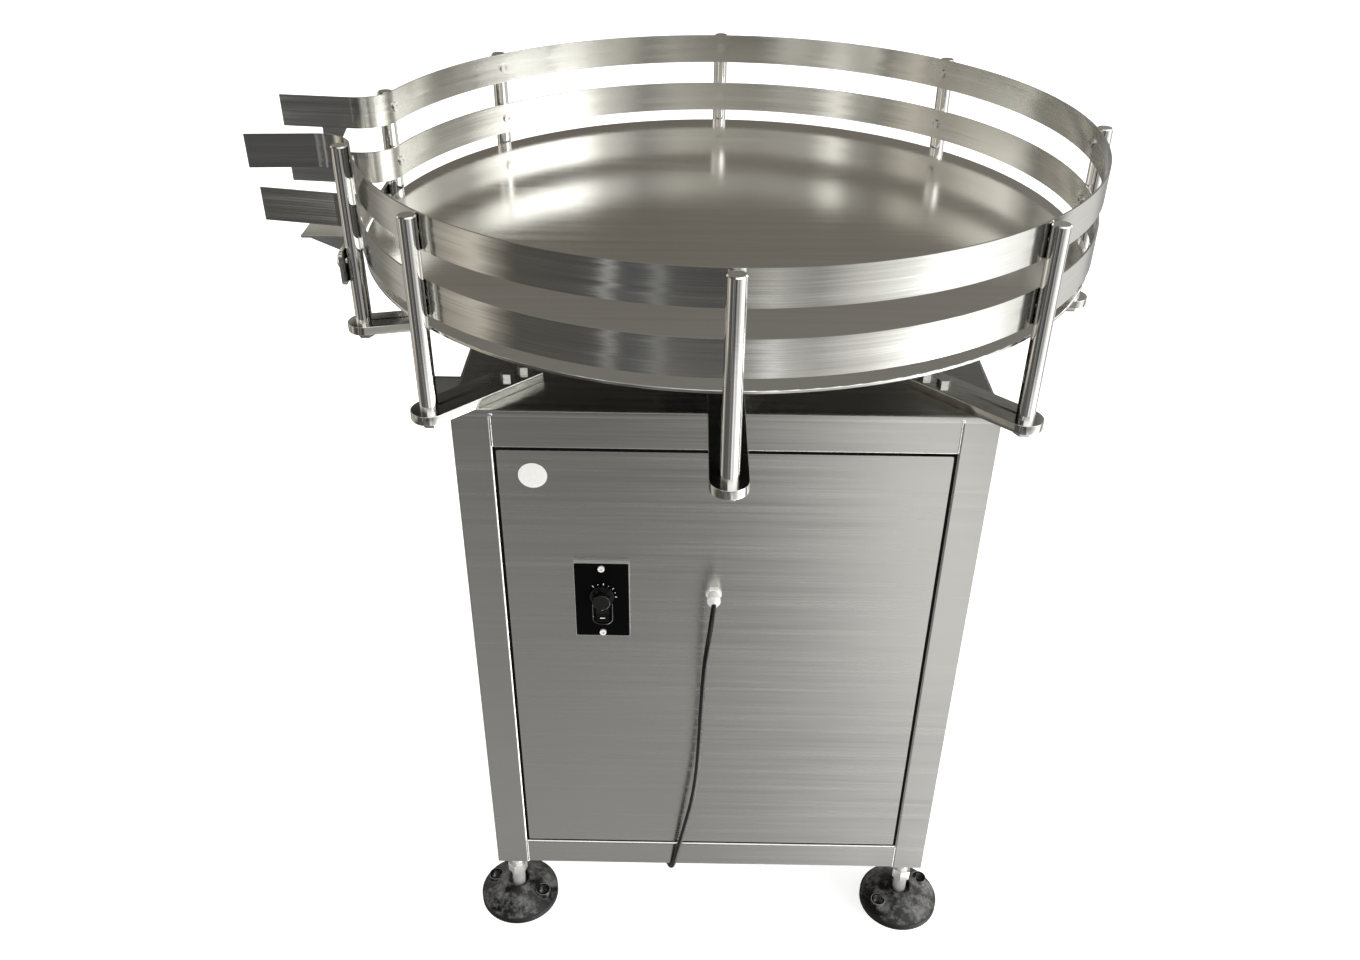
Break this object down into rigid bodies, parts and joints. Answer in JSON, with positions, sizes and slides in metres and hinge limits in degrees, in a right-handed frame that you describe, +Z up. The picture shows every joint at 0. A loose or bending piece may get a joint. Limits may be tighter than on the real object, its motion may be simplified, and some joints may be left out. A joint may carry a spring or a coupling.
{
  "type": "bottle unscrambler",
  "caption": "Rotary accumulating table on a square cabinet: a driven disc inside a ring of guard rails feeds bottles out through a side channel.",
  "frame": {"origin": "on the floor at the middle of the four feet, under the centre of the disc", "axes": "+Z up; -Y is the front with the speed controller and the cord; -X is the outfeed side"},
  "size_m": [0.9417, 0.8576, 0.9695],
  "materials": {
    "frame_steel": "horizontal brushed stainless steel",
    "plate_steel": "brushed stainless steel",
    "panel_steel": "horizontal brushed stainless steel",
    "bar_steel": "bright drawn steel",
    "rail_steel": "bright brushed stainless strip",
    "post_chrome": "polished rod",
    "disc_steel": "polished stainless steel",
    "bolt_steel": "plain stainless fasteners",
    "stud_steel": "zinc plated",
    "hub_iron": "dark painted casting",
    "gear_alu": "cast aluminium",
    "motor_alu": "grey painted",
    "belt_rubber": "matt rubber",
    "control_black": "gloss black",
    "knob_black": "satin black",
    "nylon_white": "white nylon",
    "cord_black": "black flexible sheath",
    "plug_black": "black moulded rubber",
    "pad_black": "gloss black nylon"
  },
  "bodies": {
    "cabinet": {"corner_posts": "frame_steel", "top_rails": "frame_steel", "bottom_rails": "frame_steel", "top_plate": "plate_steel", "base_plate": "plate_steel", "foot_plates": "plate_steel", "front_panel": "panel_steel", "rear_panel": "panel_steel", "left_panel": "panel_steel", "right_panel": "panel_steel", "panel_stops": "plate_steel", "support_bars": "bar_steel", "guard_posts": "post_chrome", "post_bolts": "bolt_steel", "bar_bolts": "bolt_steel", "guard_rail_upper": "rail_steel", "guard_rail_lower": "rail_steel", "rail_screws": "bolt_steel", "rail_tie": "rail_steel", "dead_plate": "rail_steel", "plate_gussets": "rail_steel", "post_clamps": "bar_steel", "clamp_bolts": "bolt_steel", "side_tabs": "plate_steel", "bearing_housing": "hub_iron", "bearings": "bolt_steel", "housing_bolts": "bolt_steel", "motor_plate": "plate_steel", "motor_standoffs": "bar_steel", "motor_bolts": "bolt_steel", "gearbox": "gear_alu", "motor": "motor_alu", "drive_belt": "belt_rubber", "controller_bezel": "control_black", "controller_body": "control_black", "controller_screws": "bolt_steel", "cable_gland": "nylon_white", "gland_nut": "nylon_white", "power_cord": "cord_black", "cord_coil": "cord_black", "plug": "plug_black"},
    "turntable": {"disc": "disc_steel", "disc_boss": "plate_steel", "hub": "hub_iron", "hub_bolts": "bolt_steel", "spindle": "bar_steel", "spindle_pulley": "hub_iron"},
    "drive": {"motor_shaft": "bar_steel", "motor_pulley": "hub_iron"},
    "knob": {"speed_knob": "knob_black"},
    "rocker": {"power_rocker": "knob_black"},
    "foot_fl": {"foot_pad_fl": "pad_black", "foot_stud_fl": "stud_steel"},
    "foot_fr": {"foot_pad_fr": "pad_black", "foot_stud_fr": "stud_steel"},
    "foot_rl": {"foot_pad_rl": "pad_black", "foot_stud_rl": "stud_steel"},
    "foot_rr": {"foot_pad_rr": "pad_black", "foot_stud_rr": "stud_steel"}
  },
  "joints": [
    {"name": "turntable_spin", "type": "hinge", "parent": "cabinet", "child": "turntable", "pos_m": [0, 0, 0.8555], "axis": [0, 0, 1], "continuous": true},
    {"name": "drive_spin", "type": "hinge", "parent": "cabinet", "child": "drive", "pos_m": [0, 0.172, 0.64], "axis": [0, 0, 1], "continuous": true},
    {"name": "speed_knob_turn", "type": "hinge", "parent": "cabinet", "child": "knob", "pos_m": [-0.1285, -0.28, 0.5341], "axis": [0, -1, 0], "range_deg": [-135, 135]},
    {"name": "power_rocker_tilt", "type": "hinge", "parent": "cabinet", "child": "rocker", "pos_m": [-0.1285, -0.275, 0.508], "axis": [1, 0, 0], "range_deg": [0, 18]},
    {"name": "foot_fl_screw", "type": "slide", "parent": "cabinet", "child": "foot_fl", "axis": [0, 0, -1], "range_m": [0, 0.025]},
    {"name": "foot_fr_screw", "type": "slide", "parent": "cabinet", "child": "foot_fr", "axis": [0, 0, -1], "range_m": [0, 0.025]},
    {"name": "foot_rl_screw", "type": "slide", "parent": "cabinet", "child": "foot_rl", "axis": [0, 0, -1], "range_m": [0, 0.025]},
    {"name": "foot_rr_screw", "type": "slide", "parent": "cabinet", "child": "foot_rr", "axis": [0, 0, -1], "range_m": [0, 0.025]}
  ],
  "couplings": [
    {"joint": "drive_spin", "follows": "turntable_spin", "ratio": 2.1189}
  ]
}
